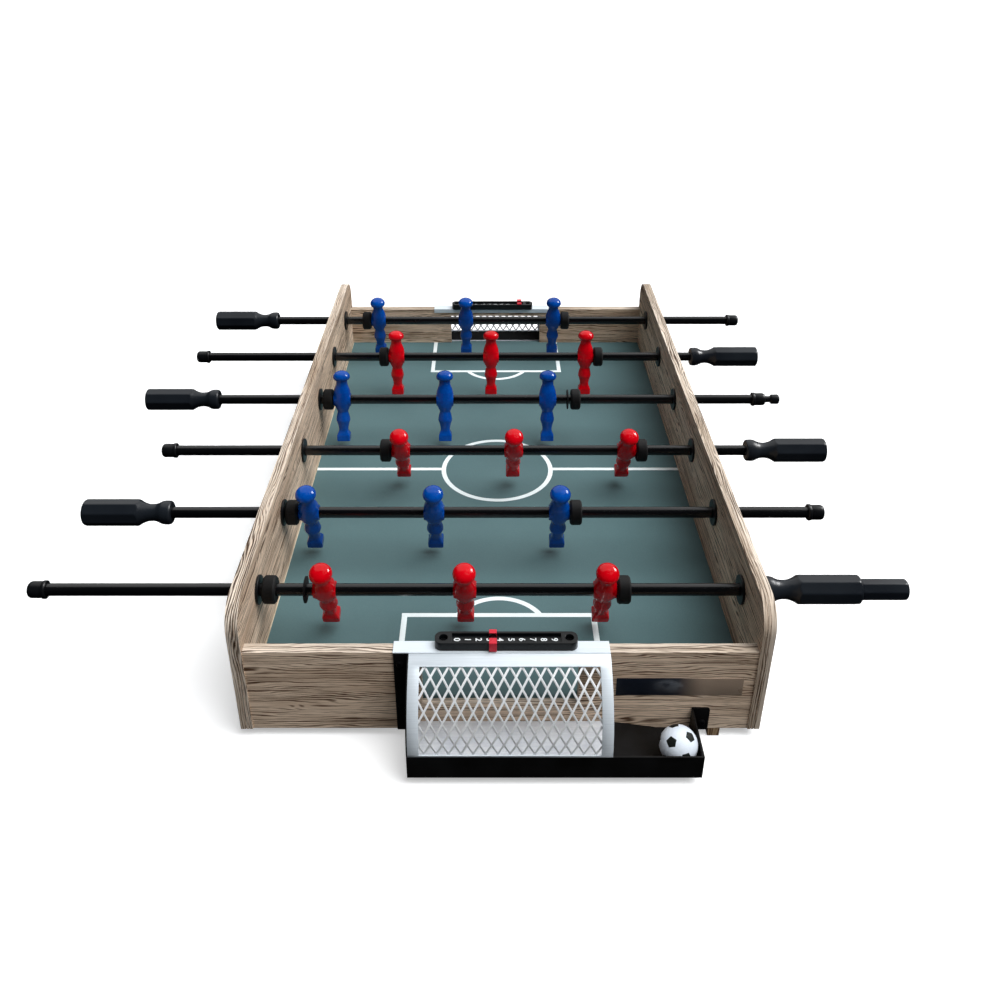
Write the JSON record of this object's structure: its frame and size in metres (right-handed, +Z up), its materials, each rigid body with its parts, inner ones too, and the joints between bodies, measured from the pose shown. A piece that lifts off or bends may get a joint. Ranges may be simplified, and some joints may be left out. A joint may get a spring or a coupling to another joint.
{
  "type": "tabletop foosball table",
  "caption": "Tabletop foosball game: wooden cabinet with sliding, spinning player rods, a netted goal with ball tray and a slide scorer at each end.",
  "frame": {"origin": "centre of the top face of the playing surface", "axes": "+X along the rods, to the right seen from the near goal; +Y from the near goal to the far goal; +Z up"},
  "size_m": [0.6723, 0.6954, 0.121],
  "materials": {
    "side_wood": "matte wood grain",
    "end_wood": "matte wood grain",
    "foot_wood": "raw wood",
    "field_board": "printed matt laminate",
    "black_plastic": "satin",
    "black_screws": "black oxide",
    "silver_sheet": "brushed",
    "net_wire": "silver enamel",
    "black_sheet": "satin black",
    "silver_floor": "satin",
    "marker_red": "gloss",
    "ball_plastic": "gloss",
    "rod_steel": "polished",
    "red_team": "gloss",
    "blue_team": "gloss",
    "handle_plastic": "satin",
    "black_rubber": "matt"
  },
  "bodies": {
    "table": {"side_panel_left": "side_wood", "side_panel_right": "side_wood", "end_panel_near": "end_wood", "end_panel_far": "end_wood", "playfield": "field_board", "feet": "foot_wood", "rod_bushings": "black_plastic", "bushing_rings": "black_plastic", "panel_screws": "black_screws", "near_goal_hood": "silver_sheet", "near_goal_net": "net_wire", "near_ball_tray": "black_sheet", "near_goal_floor": "silver_floor", "far_goal_hood": "silver_sheet", "far_goal_net": "net_wire", "far_ball_tray": "black_sheet", "far_goal_floor": "silver_floor", "goal_screws": "black_screws", "near_scorer": "black_plastic", "far_scorer": "black_plastic", "scorer_screws": "black_screws"},
    "rod1_carriage": {"rod1_bumpers": "black_rubber", "rod1_washer": "black_rubber"},
    "rod1": {"rod1_tube": "rod_steel", "rod1_men": "red_team", "rod1_handle": "handle_plastic", "rod1_end_cap": "black_rubber", "rod1_handle_tip": "handle_plastic"},
    "rod2_carriage": {"rod2_bumpers": "black_rubber"},
    "rod2": {"rod2_tube": "rod_steel", "rod2_men": "blue_team", "rod2_handle": "handle_plastic", "rod2_end_cap": "black_rubber"},
    "rod3_carriage": {"rod3_bumpers": "black_rubber"},
    "rod3": {"rod3_tube": "rod_steel", "rod3_men": "red_team", "rod3_handle": "handle_plastic", "rod3_end_cap": "black_rubber"},
    "rod4_carriage": {"rod4_bumpers": "black_rubber", "rod4_washer": "black_rubber"},
    "rod4": {"rod4_tube": "rod_steel", "rod4_men": "blue_team", "rod4_handle": "handle_plastic", "rod4_end_cap": "black_rubber", "rod4_end_knob": "black_rubber"},
    "rod5_carriage": {"rod5_bumpers": "black_rubber"},
    "rod5": {"rod5_tube": "rod_steel", "rod5_men": "red_team", "rod5_handle": "handle_plastic", "rod5_end_cap": "black_rubber"},
    "rod6_carriage": {"rod6_bumpers": "black_rubber"},
    "rod6": {"rod6_tube": "rod_steel", "rod6_men": "blue_team", "rod6_handle": "handle_plastic", "rod6_end_cap": "black_rubber"},
    "rod1_loose_bumper": {"rod1_loose_bumper": "black_rubber"},
    "near_score_marker": {"near_score_marker": "marker_red"},
    "far_score_marker": {"far_score_marker": "marker_red"},
    "ball": {"ball": "ball_plastic"}
  },
  "joints": [
    {"name": "rod1_slide", "type": "slide", "parent": "table", "child": "rod1_carriage", "axis": [1, 0, 0], "range_m": [-0.0031, 0.0828]},
    {"name": "rod1_spin", "type": "hinge", "parent": "rod1_carriage", "child": "rod1", "pos_m": [-0.0266, -0.24575, 0.0537], "axis": [1, 0, 0], "continuous": true},
    {"name": "rod2_slide", "type": "slide", "parent": "table", "child": "rod2_carriage", "axis": [1, 0, 0], "range_m": [-0.0012, 0.0831]},
    {"name": "rod2_spin", "type": "hinge", "parent": "rod2_carriage", "child": "rod2", "pos_m": [-0.055, -0.14745, 0.0537], "axis": [1, 0, 0], "continuous": true},
    {"name": "rod3_slide", "type": "slide", "parent": "table", "child": "rod3_carriage", "axis": [1, 0, 0], "range_m": [-0.0383, 0.0412]},
    {"name": "rod3_spin", "type": "hinge", "parent": "rod3_carriage", "child": "rod3", "pos_m": [0.015, -0.04915, 0.0537], "axis": [1, 0, 0], "continuous": true},
    {"name": "rod4_slide", "type": "slide", "parent": "table", "child": "rod4_carriage", "axis": [1, 0, 0], "range_m": [-0.0022, 0.0926]},
    {"name": "rod4_spin", "type": "hinge", "parent": "rod4_carriage", "child": "rod4", "pos_m": [-0.054, 0.04915, 0.0537], "axis": [1, 0, 0], "continuous": true},
    {"name": "rod5_slide", "type": "slide", "parent": "table", "child": "rod5_carriage", "axis": [1, 0, 0], "range_m": [-0.0231, 0.0623]},
    {"name": "rod5_spin", "type": "hinge", "parent": "rod5_carriage", "child": "rod5", "pos_m": [-0.0061, 0.14745, 0.0537], "axis": [1, 0, 0], "continuous": true},
    {"name": "rod6_slide", "type": "slide", "parent": "table", "child": "rod6_carriage", "axis": [1, 0, 0], "range_m": [-0.0196, 0.0701]},
    {"name": "rod6_spin", "type": "hinge", "parent": "rod6_carriage", "child": "rod6", "pos_m": [-0.0366, 0.24575, 0.0537], "axis": [1, 0, 0], "continuous": true},
    {"name": "rod1_loose_bumper_slide", "type": "slide", "parent": "table", "child": "rod1_loose_bumper", "axis": [1, 0, 0], "range_m": [-0.0023, 0.0195]},
    {"name": "near_marker_slide", "type": "slide", "parent": "table", "child": "near_score_marker", "axis": [1, 0, 0], "range_m": [-0.0255, 0.0448]},
    {"name": "far_marker_slide", "type": "slide", "parent": "table", "child": "far_score_marker", "axis": [-1, 0, 0], "range_m": [-0.0007, 0.0695]},
    {"name": "ball_lift", "type": "slide", "parent": "table", "child": "ball", "axis": [0, 0, 1], "range_m": [0, 0.08]}
  ]
}
